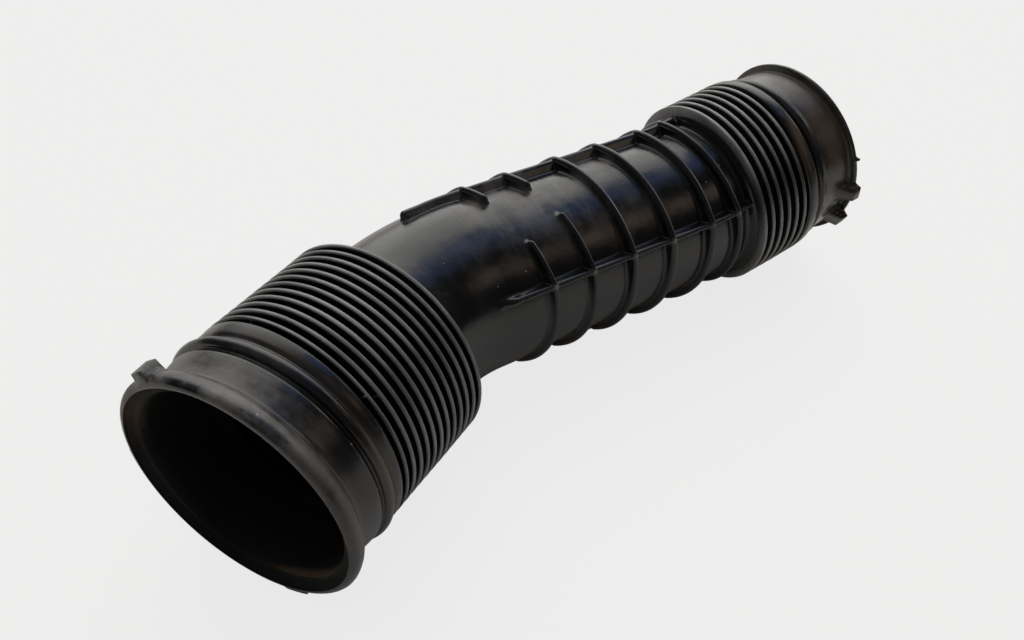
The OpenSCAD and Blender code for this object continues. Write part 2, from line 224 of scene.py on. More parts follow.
def crests(first, count, pitch, tip_r, floor_r):
    """Outer profile of a bellows: for each crest ten points, out over a flat tip with
    rounded edges and back to a groove floor, each at a share h of the crest's height."""
    x = np.array([1.4, 1.0, 0.84, 0.72, 0.45])
    h = np.array([0.02, 0.12, 0.82, 0.96, 1.0])
    x, h = np.concatenate([-x, x[::-1]]), np.concatenate([h, h[::-1]])
    return every_pitch(first, count, pitch, x, floor_r + (tip_r - floor_r) * h)


def hollows(first, count, pitch, tip_r, floor_r):
    """Inner profile of a bellows: a rounded hollow behind each crest, each of its points at a
    share h of the hollow's depth."""
    x = np.array([-1.2, -0.6, 0.0, 0.6, 1.2])
    h = np.array([0.0, 0.7, 1.0, 0.7, 0.0])
    depth = (tip_r - floor_r) * HOLLOW_SHARE
    return every_pitch(first, count, pitch, x, floor_r - FLOOR_WALL + depth * h)


def tube_stations():
    """Stations of the middle tube: even steps, with close ones round every ring and at the
    rounded starts of the ribs."""
    even = np.arange(BEND_AT - 1, NECK_END - 0.5, OUTER_STEP)
    near_ring = np.array([-3.2, -2.5, -2.1, -1.8, -1.5, -1.1, -0.6])
    near_ring = np.concatenate([near_ring, [0], -near_ring])
    close = (RING_AT[:, None] + near_ring[None]).ravel()
    near_start = np.arange(-1.2, 3.0, 0.6)
    fine = np.concatenate([close, UPPER_RIB_START + near_start, SIDE_RIB_START + near_start])
    even = even[np.abs(even[:, None] - fine[None]).min(axis=1) > 0.7]
    return np.sort(np.concatenate([even, fine]))


def tube_radius(station):
    """Plain outer radius of the middle tube, which narrows smoothly just after the bend."""
    narrowed = smooth(station, STRAIGHT_AT, STRAIGHT_AT + TAPER_LEN)
    return BEND_TUBE_R + (RING_TUBE_R - BEND_TUBE_R) * narrowed


def near_cuff_profile():
    """Rounded lip, waist of the lip, rising clamp seat, groove, bead and plain shoulder."""
    return np.concatenate([
        arc(LIP_ROUND, LIP_R - LIP_ROUND, LIP_ROUND, 185, 78, 11),
        beside(LIP_ROUND, LIP_R, (1.6, -0.25), (2.8, -0.7), (3.8, -1.3), (4.5, -1.9), (5.0, -2.4)),
        beside(LIP_LEN, SEAT_R, (-1.7, 1.65), (-1.3, 1.1), (-0.8, 0.4), (-0.4, 0.1), (0, 0), (0.6, 0)),
        beside(LIP_LEN, SEAT_R, (1.9, 0.15), (3.9, 0.5), (6.4, 0.95), (8.6, 1.2)),
        beside(SEAT_END, SEAT_END_R, (-0.3, -0.1), (0.2, -0.35), (0.7, -0.85)),
        beside(SEAT_END, SEAT_END_R, (1.3, -0.95), (1.8, -0.8)),
        arc(BEAD_AT, BEAD_R - BEAD_ROUND, BEAD_ROUND, 160, 18, 10),
        beside(BEAD_AT, BEAD_R, (2.8, -2.05), (3.4, -2.05), (4.0, -1.6), (5.2, -1.2)),
        beside(BELLOWS_AT, NEAR_CREST_R, (0, -0.25), (1.6, -0.05), (2.1, -0.25), (2.35, -1.0)),
        beside(BELLOWS_AT, NEAR_FLOOR_R, (2.6, 0.6), (2.9, 0.1)),
    ])


def far_cuff_profile():
    """Wide band, groove, low bead, smooth flared seat and thin rounded rim."""
    seat = FAR_SEAT_R + FAR_SEAT_RISE
    return np.concatenate([
        beside(BAND_START, FAR_FLOOR_R, (-0.3, 0.3), (0, 1.2)),
        beside(BAND_START, FAR_CREST_R, (0.15, -1.1), (0.5, -0.3), (1.0, 0), (2.6, -0.05)),
        beside(BAND_END, FAR_CREST_R, (-1.2, -0.2), (-0.4, -0.45), (0.2, -1.4)),
        beside(BAND_END, FAR_FLOOR_R, (0.7, 1.0), (1.1, 0.35), (1.8, 0.3)),
        arc(FAR_BEAD_AT, FAR_BEAD_R - BEAD_ROUND, BEAD_ROUND, 158, 36, 9),
        beside(FAR_SEAT_START, seat, (-0.6, 0.05), (0.4, 0), (4.0, -0.25), (8.0, -0.5)),
        beside(FAR_SEAT_END, FAR_SEAT_R, (-1.0, 0.05), (-0.2, -0.05)),
        beside(FAR_SEAT_END, FAR_SEAT_R, (0.4, 0.1), (0.8, 0.8), (1.1, 1.8)),
        arc(END - RIM_ROUND, RIM_R - RIM_ROUND, RIM_ROUND, 125, -2, 9),
    ])


def outer_profile():
    """Stations and radii of the outside, from the near mouth to the far mouth."""
    tube = tube_stations()
    return np.concatenate([
        near_cuff_profile(),
        crests(*NEAR_BELLOWS),
        beside(NEAR_LAST, BEND_TUBE_R, (2.6, 3.8), (4.0, 1.7), (5.2, 0.5), (6.8, 0)),
        np.stack([tube, tube_radius(tube)], axis=1),
        beside(NECK_END, RING_TUBE_R, (0, 0.15), (0.8, 1.1), (1.5, 2.6)),
        crests(*FAR_BELLOWS),
        far_cuff_profile(),
    ])


def inner_profile():
    """Stations and radii of the inside, from the far mouth back to the near mouth, where a
    small ledge runs round just behind the lip."""
    tube = np.arange(BEND_AT, NECK_END - 1, INNER_STEP)
    near_to_far = np.concatenate([
        beside(0, BORE_R, (0.3, 4.9), (0.8, 4.5), (2.3, 3.3), (2.55, 3.1), (2.7, 2.9), (2.85, 1.1)),
        beside(0, BORE_R, (3.2, 0.8), (6.5, 0), (13.0, 0), (21.0, 0), (28.0, 0)),
        beside(BELLOWS_AT, BORE_R, (0.2, -0.1), (1.2, -1.1)),
        hollows(*NEAR_BELLOWS),
        beside(NEAR_LAST, BEND_TUBE_R - WALL, (3.0, 4.1), (4.6, 1.0), (5.8, 0)),
        np.stack([tube, tube_radius(tube) - WALL], axis=1),
        beside(NECK_END, RING_TUBE_R - WALL, (-0.5, 0.1), (1.2, 2.2), (2.0, 4.4)),
        hollows(*FAR_BELLOWS),
        [(BAND_END - 2.4, FAR_FLOOR_R - FLOOR_WALL)],
        beside(BAND_END, FAR_BORE_R, (-1.2, 0), (8.0, 0), (16.0, 0)),
        beside(END, FAR_BORE_R, (-1.2, 0), (-0.5, 0.5), (-0.1, 1.2), (0, 2.2), (0, 3.6)),
    ])
    return near_to_far[::-1]


def column_angles():
    """Angles of the grid's columns, in degrees: even steps, and close ones over each rib, at
    the ends of the interrupted rings and at the sides of the blocks."""
    over_rib = np.array([0, 1.2, 2.0, 2.6, 3.2, 4.2])
    close = [at + side * over_rib for at in RIB_AT for side in (-1, 1)]
    close += [np.arange(right - 0.5, right + 3.5, 1.0) for right, _ in RING_FIELDS]
    close += [np.arange(left - 3.5, left + 0.5, 1.0) for _, left in RING_FIELDS]
    close += [np.array([side - 0.5, side, side + 0.5]) for block in BLOCKS for side in block[2:4]]
    close = np.unique(np.concatenate(close) % 360)
    even = np.arange(0, 360, COLUMN_STEP)
    gap = np.abs(turned(even[:, None] - close[None])).min(axis=1)
    angles = np.sort(np.concatenate([close, even[gap > 1.1]]))
    return angles[np.append(np.diff(angles) > 0.25, True)]


def ring_reach(angle):
    """Outer radius of a ring: four flat arcs, each lowest midway between two ribs, that rise
    to a corner over each rib. An arc of radius R + d round a centre d beyond the axis."""
    from_mid = np.radians((angle - RIB_AT[0]) % 90 - 45)
    d = (RING_CORNER_R**2 - RING_R**2) / (2 * RING_R - 2 * RING_CORNER_R * cos(pi / 4))
    return -d * np.cos(from_mid) + np.sqrt((RING_R + d) ** 2 - (d * np.sin(from_mid)) ** 2)


def rib_radius(station, angle):
    """Radius of the lengthwise ribs where they stand, 0 elsewhere. A rib is a ridge round each
    rib angle, from a rounded start, a little swollen, to the far bellows."""
    radius = np.zeros(np.broadcast(station, angle).shape)
    foot = tube_radius(station) - 0.1
    faded = 1 - smooth(station, NECK_END, NECK_END + 1.5)
    for i, at in enumerate(RIB_AT):
        start = UPPER_RIB_START if i == 0 else SIDE_RIB_START
        swell = bell(station - start - 2, 2.2)
        across = np.radians(turned(angle - at)) * RIB_R
        before = np.maximum(start + RIB_HALF - station, 0)
        height = ridge(np.hypot(across, before), RIB_HALF + 0.35 * swell) * faded
        radius = np.maximum(radius, foot + (RIB_R + 0.4 * swell - foot) * height)
    return radius


def ring_radius(station, angle, lean):
    """Radius of the rings where they stand, 0 elsewhere. A ring is a ridge round its station;
    in an interrupted one the distance is taken from the nearer end of what is left, and its
    width is less at the right. A leaning ring of radius R reaches only
    R (1 - (sin a sin lean)^2)^(1/2) from the axis."""
    radius = np.zeros(np.broadcast(station, angle).shape)
    foot = tube_radius(station) - 0.1
    top = ring_reach(angle) * np.sqrt(1 - (np.sin(np.radians(angle)) * np.sin(lean)) ** 2)
    at_right = smooth(np.cos(np.radians(angle - SLIM_AT)), 0.2, 0.8)
    for i, at in enumerate(RING_AT):
        past, half = 0.0, RING_HALF
        if i < len(RING_FIELDS):
            right, left = RING_FIELDS[i]
            into = np.minimum(turned(angle) - right, left - turned(angle))
            past = np.radians(np.maximum(into, 0)) * RING_R
            half = RING_HALF * (1 - SLIM_SHARE * at_right)
        height = ridge(np.hypot(station - at, past), half)
        radius = np.maximum(radius, foot + (top - foot) * height)
    return radius


def with_blocks(radius, station, angle):
    """The radius raised to the top of each lug and nub: a block between two stations and two
    angles, with steep sides that end in soft edges."""
    along_edge, round_edge = 0.3, 0.45

    def between(x, low, high, edge):
        """1 between two limits, 0 beyond them, with a smooth step over an edge at each."""
        return smooth(x, low - edge, low + edge) * (1 - smooth(x, high - edge, high + edge))

    for first, last, low, high, top in BLOCKS:
        share = between(station, first, last, along_edge) * between(angle, low, high, round_edge)
        radius = radius + np.maximum(top - radius, 0) * share
    return radius


def waver(station, angle):
    """Slight unevenness of soft moulded rubber: long waves along and round the wall, each its
    height times sin(station / reach + count x angle + begin)."""
    a = np.radians(angle)
    return sum(h * np.sin(station / reach + count * a + begin) for h, reach, count, begin in WAVES)


def mouth_skew(station, angle):
    """How far the soft rims are pushed along the axis, not being quite square to it: the near
    lip stands out at its bottom, by a share 1 + cos of the angle from there, and the far
    rim at its right side, by the square of such a share. Both fade away from the mouth."""
    from_lip = 1 + np.cos(np.radians(angle - LIP_SKEW_AT))
    from_rim = 1 + np.cos(np.radians(angle - RIM_SKEW_AT))
    near = -LIP_SKEW * from_lip * (1 - smooth(station, 2, 10))
    far = RIM_SKEW * from_rim**2 * smooth(station, END - 14, END - 3)
    return near + far


def relief(radius, station):
    """How far each point stands above the wall around it, in millimetres: its radius less a
    mean of the column's radii, weighted by a bell curve of the distance along the duct."""
    reach = 2.4
    weight = bell(station[:, None] - station[None], reach) * np.gradient(station)[None]
    return radius - (weight / weight.sum(axis=1, keepdims=True)) @ radius


def worn_and_highlit(height, station, angle):
    """Share of the wall painted pale: the crests of both bellows, as wear and painted highlight,
    less at the right side, where painted shade keeps them dark, a painted highlight line along
    the far edge of each ring, strongest at the upper right, and a painted glint where a ring
    crosses a rib. Bell curves of the distance fade each of them."""
    turn = turned(angle)
    # Painted shade: the crests at the right side are kept darker
    painted_shade = bell(turn + 60, 22)
    in_near = (station > NEAR_FIRST - 1.7) & (station < BEND_AT - 3)
    in_far = (station > FAR_FIRST - 1.7) & (station < BAND_START - 2)
    rubbing_and_highlight = in_near * (0.75 - 0.35 * painted_shade) + in_far * (1 - 0.8 * painted_shade)
    share = smooth(height, 1.75, 2.25) * rubbing_and_highlight
    # Painted highlight: a pale line along each ring's far edge, strongest at the upper right
    highlight_facing = 0.35 + 0.9 * bell(turn + 32, 24)
    for at in RING_AT:
        edge = bell(station - at - 0.75, 0.35) * smooth(height, 0.8, 1.8)
        share = np.maximum(share, edge * highlight_facing)
        for rib in RIB_AT:
            # Painted glint: a pale dot where a ring crosses a rib
            glint = bell(station - at, 0.8) * bell(turned(angle - rib), 1.3)
            share = np.maximum(share, glint)
    return share


# Where the rubber is stained brown, with painted brown and golden reflections among the stains, and
# where it is dusty, with a painted sheen among the dust: station, angle, reach along and round,
# strength
STAINS_AND_REFLECTIONS = [
    # Painted highlight: a golden patch on the right of the near bead
    (25.0, -82, 5.0, 34, 1.0),
    (28.5, -30, 4.0, 90, 0.35),
    (2.0, 68, 4.0, 26, 0.6),
    (2.78, -142, 0.35, 30, 1.3),
    (5.0, -75, 8.0, 32, 0.55),
    # Painted highlight: a golden patch on the far wide band
    (FAR_AT + 44, -45, 3.5, 22, 0.8),
    (END - 8, -50, 9.0, 80, 0.75),
    (END - 8, 40, 9.0, 80, 0.4),
    # Painted reflection of the warm floor on the underside of the middle tube
    (STRAIGHT_AT + 60, -160, 60.0, 40, 0.5),
    # Painted brown reflection along the upper right of the middle tube
    (STRAIGHT_AT + 50, -45, 45.0, 16, 0.3),
]
DUST_AND_SHEEN = [
    (14.0, 48, 5.0, 16, 2.2),
    (6.5, 32, 2.5, 26, 1.3),
    (BEND_AT + 8, 5, 14.0, 40, 0.25),
    (4.0, 18, 6.0, 66, 1.5),
    (13.0, 25, 6.0, 50, 1.2),
    (23.0, 30, 3.5, 40, 0.55),
    # Painted sheen with the dust: a pale film along the top of the middle tube
    (STRAIGHT_AT + 32, 4, 46.0, 32, 0.9),
    (END - 9, 20, 10.0, 60, 0.6),
]


def zones(spots, station, angle):
    """Strength of overlapping soft spots: for each, its strength times bell curves of the
    distances along and round the duct; the strongest counts."""
    total = np.zeros(np.broadcast(station, angle).shape)
    for at, turn, along_reach, round_reach, strength in spots:
        spot = bell(station - at, along_reach) * bell(turned(angle - turn), round_reach)
        total = np.maximum(total, strength * spot)
    return total


def duct_wall():
    """The closed wall: profile points times column angles, each at its centre plus its radius
    times (sin angle left + cos angle up). In the middle the rows lean as the rings do: a point
    moves back by its distance to the left, radius times sin angle, times the tangent of the
    lean. Dust, and the painted sheen on the top of the tube, lie on the wall between the ribs
    and rings, and little of either on them.
    Returns points, faces, the number of outer faces, and values for each point."""
    outside, inside = outer_profile(), inner_profile()
    profile = np.concatenate([outside, inside])
    angle = column_angles()[None]
    row, base = profile[:, :1], profile[:, 1:]
    is_out = (np.arange(len(profile)) < len(outside))[:, None]
    lean_at = np.concatenate([[BEND_AT + 5], RING_AT])
    lean = np.radians(np.interp(row, lean_at, [0.0] + RING_LEANS)) * is_out
    back = np.sin(np.radians(angle)) * np.tan(lean)
    middle = (row > BEND_AT) & (row < NECK_END + 2) & is_out
    ribs, rings = rib_radius(row - base * back, angle), ring_radius(row, angle, lean)
    raised = soft_max(ribs, rings, CROSSING_FILLET)
    radius = np.where(middle, soft_max(base, raised, FOOT_FILLET), base + 0 * angle)
    radius = np.where(is_out, with_blocks(radius, row, angle), radius)
    radius = radius + waver(row, angle) * smooth(row, 0, 10) * (1 - smooth(row, END - 10, END))
    station = row - radius * back + mouth_skew(row, angle)
    centre, left, up = path(station.ravel())
    a = np.radians(angle + 0 * row).ravel()[:, None]
    sine, cosine = np.sin(a), np.cos(a)
    points = centre + radius.reshape(-1, 1) * (sine * left + cosine * up)
    rows, columns = radius.shape
    i, j = np.meshgrid(np.arange(rows), np.arange(columns), indexing="ij")
    i2, j2 = (i + 1) % rows, (j + 1) % columns
    corners = [i * columns + j, i2 * columns + j, i2 * columns + j2, i * columns + j2]
    faces = np.stack(corners, axis=-1)
    height = np.zeros(radius.shape)
    height[: len(outside)] = relief(radius[: len(outside)], outside[:, 0])
    swept_clean = 0.9 * middle * smooth(height, 0.4, 1.4)
    straight = np.hstack([station.reshape(-1, 1), PATTERN_R * sine, PATTERN_R * cosine])
    values = {
        "laid_straight": straight / 1000,
        "relief": height.ravel(),
        "rubbed_and_highlit": worn_and_highlit(height, row, angle).ravel(),
        "stain_and_reflection": zones(STAINS_AND_REFLECTIONS, station, angle).ravel(),
        "dust_and_sheen": (zones(DUST_AND_SHEEN, station, angle) * (1 - swept_clean)).ravel(),
    }
    return points / 1000, faces.reshape(-1, 4), len(outside) * columns, values


def grid_object(name, points, faces, values=None):
    """A smooth-shaded mesh object of numpy points and four-cornered faces, with a named value
    or vector at each point."""
    mesh = bpy.data.meshes.new(name)
    mesh.vertices.add(len(points))
    mesh.vertices.foreach_set("co", points.ravel())
    mesh.loops.add(faces.size)
    mesh.loops.foreach_set("vertex_index", faces.ravel())
    mesh.polygons.add(len(faces))
    mesh.polygons.foreach_set("loop_start", np.arange(0, faces.size, 4))
    mesh.polygons.foreach_set("use_smooth", np.ones(len(faces), bool))
    for title, numbers in (values or {}).items():
        is_vector = numbers.ndim == 2
        layer = mesh.attributes.new(title, "FLOAT_VECTOR" if is_vector else "FLOAT", "POINT")
        layer.data.foreach_set("vector" if is_vector else "value", numbers.ravel().astype(np.float32))
    mesh.update(calc_edges=True)
    mesh.validate()
    thing = bpy.data.objects.new(name, mesh)
    bpy.context.scene.collection.objects.link(thing)
    return thing


points, faces, outer_faces, values = duct_wall()
duct = grid_object("duct_wall", points, faces, values)


def node(tree, kind, inputs=None, **settings):
    """A new shader node; an input takes a constant, or a link where its value is a socket."""
    made = tree.nodes.new(kind)
    for name, value in settings.items():
        setattr(made, name, value)
    for name, value in (inputs or {}).items():
        if isinstance(value, bpy.types.NodeSocket):
            tree.links.new(value, made.inputs[name])
        else:
            made.inputs[name].default_value = value
    return made


def math(tree, operation, a, b=0.0, clamp=False):
    """Result socket of one Math node."""
    return node(tree, "ShaderNodeMath", {0: a, 1: b}, operation=operation, use_clamp=clamp).outputs[0]


def noise(tree, place, scale, detail=3.0, rough=0.5):
    """Value, about 0.5 in the mean, of a noise of so many features to the metre."""
    inputs = {"Vector": place, "Scale": scale, "Detail": detail, "Roughness": rough}
    return node(tree, "ShaderNodeTexNoise", inputs).outputs[0]


def ramp(tree, value, low, high, to_low=0.0, to_high=1.0):
    """The value's range from low to high, brought smoothly to another one."""
    inputs = {"Value": value, 1: low, 2: high, 3: to_low, 4: to_high}
    return node(tree, "ShaderNodeMapRange", inputs, interpolation_type="SMOOTHSTEP").outputs[0]


def blend(tree, share, a, b):
    """Colour a where the share is 0, colour b where it is 1."""
    inputs = {"Factor": share, 6: a, 7: b}
    return node(tree, "ShaderNodeMix", inputs, data_type="RGBA").outputs[2]


def covered(tree, colour, share, over, most):
    """A colour with another one laid over it: share times most of the other one."""
    return blend(tree, math(tree, "MULTIPLY", share, most), colour, over)


def rougher(tree, rough, share, by):
    """A roughness raised by a share times an amount, but never over 1."""
    return math(tree, "ADD", rough, math(tree, "MULTIPLY", share, by), clamp=True)


def stretched(tree, place, along, around):
    """A place on the wall with its features drawn out: less is longer, along and around."""
    inputs = {"Vector": place, "Scale": (along, around, around)}
    return node(tree, "ShaderNodeMapping", inputs).outputs[0]


def group(title, inputs, outputs):
    """An empty node group with named inputs, each with its value, and named outputs. Returns
    its tree, its input sockets and its output node."""
    tree = bpy.data.node_groups.new(title, "ShaderNodeTree")
    for name, value in inputs.items():
        kind = "NodeSocketVector" if value is None else "NodeSocketFloat"
        socket = tree.interface.new_socket(name, in_out="INPUT", socket_type=kind)
        if value is not None:
            socket.default_value = value
    for name in outputs:
        tree.interface.new_socket(name, in_out="OUTPUT", socket_type="NodeSocketFloat")
    return tree, node(tree, "NodeGroupInput").outputs, node(tree, "NodeGroupOutput")


def moulded_grain():
    """Fine pitted grain of moulded rubber over its larger lumps, and smoother patches drawn
    out round the duct. The height is 0.35 times the fine noise plus the lumps."""
    tree, given, out = group("moulded_grain", {"Place": None, "Grain": 1400.0}, ["Height", "Patches"])
    fine = noise(tree, given["Place"], given["Grain"], 2.0, 0.6)
    lumps = noise(tree, given["Place"], 190.0, 2.0)
    height = math(tree, "ADD", math(tree, "MULTIPLY", fine, 0.35), lumps)
    tree.links.new(height, out.inputs["Height"])
    around = noise(tree, stretched(tree, given["Place"], 1.0, 0.45), 60.0, 4.0, 0.62)
    tree.links.new(ramp(tree, around, 0.36, 0.68), out.inputs["Patches"])
    return tree


def settled_dust_and_sheen():
    """Dust and painted sheen: a thin film where it is given a zone, its strength times a noise of
    clouds and of streaks round the duct, and a few small dust specks, one in some of the cells
    of a pattern."""
    tree, given, out = group("settled_dust_and_sheen", {"Place": None, "Zone": 0.0}, ["Film", "Specks"])
    clouds = noise(tree, given["Place"], 55.0, 4.0, 0.6)
    streaks = noise(tree, stretched(tree, given["Place"], 1.0, 0.12), 420.0, 3.0, 0.6)
    clouds, streaks = math(tree, "MULTIPLY", clouds, 0.8), math(tree, "MULTIPLY", streaks, 0.2)
    broken = math(tree, "ADD", clouds, streaks)
    film = math(tree, "MULTIPLY", given["Zone"], ramp(tree, broken, 0.38, 0.62))
    tree.links.new(film, out.inputs["Film"])
    cells = node(tree, "ShaderNodeTexVoronoi", {"Vector": given["Place"], "Scale": 260.0})
    near = ramp(tree, cells.outputs["Distance"], 0.05, 0.12, 1.0, 0.0)
    chance = node(tree, "ShaderNodeSeparateColor", {0: cells.outputs["Color"]}).outputs[0]
    few = math(tree, "GREATER_THAN", chance, 0.93)
    tree.links.new(math(tree, "MULTIPLY", near, few), out.inputs["Specks"])
    return tree


def brown_stain_and_reflection():
    """Share of brown stain and painted brown and golden reflection: the zone's strength, frayed by
    noise, and stronger in hollows.
    """
    tree, given, out = group("brown_stain_and_reflection", {"Place": None, "Zone": 0.0, "Relief": 0.0}, ["Share"])
    frayed = noise(tree, stretched(tree, given["Place"], 1.0, 0.35), 150.0, 5.0, 0.65)
    hollow = math(tree, "MULTIPLY", given["Relief"], -0.08)
    uneven = math(tree, "ADD", math(tree, "MULTIPLY", frayed, 0.9), hollow)
    total = math(tree, "ADD", given["Zone"], uneven)
    share = math(tree, "MULTIPLY", ramp(tree, total, 0.55, 1.35), ramp(tree, given["Zone"], 0.02, 0.3))
    tree.links.new(share, out.inputs["Share"])
    return tree


def rubbed_edges_and_highlights():
    """Share of wear and painted highlight: where the wall is given it, broken up round the duct by
    noise.
    """
    tree, given, out = group("rubbed_edges_and_highlights", {"Place": None, "Worn_and_highlight": 0.0}, ["Share"])
    broken = noise(tree, stretched(tree, given["Place"], 1.0, 0.25), 170.0, 4.0, 0.6)
    share = math(tree, "MULTIPLY", given["Worn_and_highlight"], ramp(tree, broken, 0.3, 0.66, 0.4, 1.0))
    tree.links.new(share, out.inputs["Share"])
    return tree


GRAIN, DUST_AND_SHEEN_FILM, STAIN_AND_REFLECTION, WEAR_AND_HIGHLIGHT = moulded_grain(), settled_dust_and_sheen(), brown_stain_and_reflection(), rubbed_edges_and_highlights()


def placed(tree, content, inputs):
    """Outputs of a node group placed in a material."""
    return node(tree, "ShaderNodeGroup", inputs, node_tree=content).outputs


def attribute(tree, name, output="Fac"):
    """A value stored at the mesh's points."""
    return node(tree, "ShaderNodeAttribute", attribute_name=name).outputs[output]


def bumped(tree, height, strength, distance):
    """A surface normal tilted by a height, which is worth so many metres."""
    inputs = {"Strength": strength, "Distance": distance, "Height": height}
    return node(tree, "ShaderNodeBump", inputs).outputs[0]


# Colours of the rubber and of what lies on it
BLACK = (0.0036, 0.0036, 0.0038, 1)
# Pale grey of worn crests, which also paints highlights on crests and ring edges
RUBBED_AND_HIGHLIGHT = (0.260, 0.256, 0.250, 1)
# Painted shade: a darker black for the grooves and creases
GROOVE_SHADE = (0.0025, 0.0023, 0.0021, 1)
# Pale dust, which also paints a sheen on the top of the middle tube
DUSTY_AND_SHEEN = (0.230, 0.214, 0.196, 1)
BROWN_STAIN_AND_REFLECTION = (0.085, 0.056, 0.034, 1)
BORE_BLACK = (0.0120, 0.0118, 0.0115, 1)
SPECK = (0.35, 0.34, 0.32, 1)
# Roughness of the rubber, in its smoother and its duller patches
SATIN, MATT = (0.16, 0.27), (0.62, 0.78)


def outer_rubber():
    """Satin black rubber outside: grain, crests worn pale with painted highlight, painted highlight
    lines on the ring edges, painted shade in the grooves, a dusty film on the cuffs, dust with
    painted sheen on the upper side, and brown stains with painted brown and golden reflections."""
    material = bpy.data.materials.new("outer_rubber")
    material.use_nodes = True
    tree = material.node_tree
    shader = tree.nodes["Principled BSDF"]
    place = attribute(tree, "laid_straight", "Vector")
    height = attribute(tree, "relief")
    grain = placed(tree, GRAIN, {"Place": place, "Grain": 1500.0})
    dust_and_sheen = placed(tree, DUST_AND_SHEEN_FILM, {"Place": place, "Zone": attribute(tree, "dust_and_sheen")})
    stain_and_reflection_inputs = {"Place": place, "Zone": attribute(tree, "stain_and_reflection"), "Relief": height}
    stain_and_reflection = placed(tree, STAIN_AND_REFLECTION, stain_and_reflection_inputs)["Share"]
    wear_and_highlight = placed(tree, WEAR_AND_HIGHLIGHT, {"Place": place, "Worn_and_highlight": attribute(tree, "rubbed_and_highlit")})["Share"]
    # Painted shade: darker where the wall lies below the wall around it
    colour = blend(tree, ramp(tree, height, -0.3, -1.6), BLACK, GROOVE_SHADE)
    # Pale crests and ring edges: wear, with painted highlights and glints
    colour = blend(tree, wear_and_highlight, colour, RUBBED_AND_HIGHLIGHT)
    # Dust film, with painted sheen on the top of the middle tube
    colour = covered(tree, colour, dust_and_sheen["Film"], DUSTY_AND_SHEEN, most=0.5)
    # Brown stains, and painted brown and golden reflections
    colour = covered(tree, colour, stain_and_reflection, BROWN_STAIN_AND_REFLECTION, most=0.55)
    colour = covered(tree, colour, dust_and_sheen["Specks"], SPECK, most=0.5)
    tree.links.new(colour, shader.inputs["Base Color"])
    rough = ramp(tree, grain["Patches"], 0.0, 1.0, *SATIN)
    rough = rougher(tree, rough, dust_and_sheen["Film"], by=0.3)
    rough = rougher(tree, rough, wear_and_highlight, by=0.15)
    rough = rougher(tree, rough, stain_and_reflection, by=0.12)
    tree.links.new(rough, shader.inputs["Roughness"])
    tree.links.new(bumped(tree, grain["Height"], 0.35, 0.00025), shader.inputs["Normal"])
    return material


def bore_rubber():
    """Matt black rubber inside, blacker in patches and stained near the mouths."""
    material = bpy.data.materials.new("bore_rubber")
    material.use_nodes = True
    tree = material.node_tree
    shader = tree.nodes["Principled BSDF"]
    place = attribute(tree, "laid_straight", "Vector")
    grain = placed(tree, GRAIN, {"Place": place, "Grain": 1100.0})
    stain_and_reflection = placed(tree, STAIN_AND_REFLECTION, {"Place": place, "Zone": attribute(tree, "stain_and_reflection")})["Share"]
    colour = covered(tree, BORE_BLACK, grain["Patches"], BLACK, most=0.4)
    colour = covered(tree, colour, stain_and_reflection, BROWN_STAIN_AND_REFLECTION, most=0.9)
    tree.links.new(colour, shader.inputs["Base Color"])
    tree.links.new(ramp(tree, grain["Patches"], 0.0, 1.0, *MATT), shader.inputs["Roughness"])
    shader.inputs["Specular IOR Level"].default_value = 0.1
    tree.links.new(bumped(tree, grain["Height"], 0.5, 0.0003), shader.inputs["Normal"])
    return material


duct.data.materials.append(outer_rubber())
duct.data.materials.append(bore_rubber())
is_inner = (np.arange(len(faces)) >= outer_faces).astype(np.int32)
duct.data.polygons.foreach_set("material_index", is_inner)
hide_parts("intake_duct")
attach(duct, "root")


def floor():
    """A wide pale floor under the duct. What the camera sees of it is mostly plain pale paper,
    lit evenly, and for the rest the floor itself with the duct's shadow."""
    half, plain = 3.0, 0.9
    corners = np.array([(-half, -half, 0), (half, -half, 0), (half, half, 0), (-half, half, 0)])
    thing = grid_object("floor", corners, np.array([(0, 1, 2, 3)]))
    material = bpy.data.materials.new("pale_floor")
    material.use_nodes = True
    tree = material.node_tree
    shader = tree.nodes["Principled BSDF"]
    shader.inputs["Base Color"].default_value = (0.82, 0.79, 0.74, 1)
    shader.inputs["Roughness"].default_value = 0.9
    shader.inputs["Specular IOR Level"].default_value = 0.1
    rays = node(tree, "ShaderNodeLightPath").outputs
    share = math(tree, "MULTIPLY", rays["Is Camera Ray"], plain)
    paper = node(tree, "ShaderNodeEmission", {"Color": (0.882, 0.882, 0.880, 1)})
    mixed = node(tree, "ShaderNodeMixShader", {0: share, 1: shader.outputs[0], 2: paper.outputs[0]})
    tree.links.new(mixed.outputs[0], tree.nodes["Material Output"].inputs["Surface"])
    thing.data.materials.append(material)


floor()


def toward(azimuth, elevation):
    """Unit vector of a direction, its azimuth counted from +X towards +Y."""
    a, e = radians(azimuth), radians(elevation)
    return np.array([cos(a) * cos(e), sin(a) * cos(e), sin(e)])


def fill_lamp(azimuth, elevation, distance, size, radiance):
    """A wide square lamp of white light that faces the duct from a direction and isn't mirrored
    in it. A lamp of side s that gives a radiance L has a power of pi L s^2."""
    lamp = bpy.data.lights.new("fill", "AREA")
    lamp.shape, lamp.size = "SQUARE", size
    lamp.energy = pi * radiance * size**2
    thing = bpy.data.objects.new("fill", lamp)
    away = toward(azimuth, elevation)
    side = np.cross([0.0, 0.0, 1.0], away)
    side /= np.linalg.norm(side)
    turn = Matrix((side, np.cross(away, side), away)).transposed().to_4x4()
    thing.matrix_world = Matrix.Translation(away * distance) @ turn
    thing.visible_glossy = False
    bpy.context.scene.collection.objects.link(thing)


# From almost overhead, to light the floor evenly and bring out the dust
fill_lamp(azimuth=56, elevation=80, distance=1.8, size=2.4, radiance=1.05)

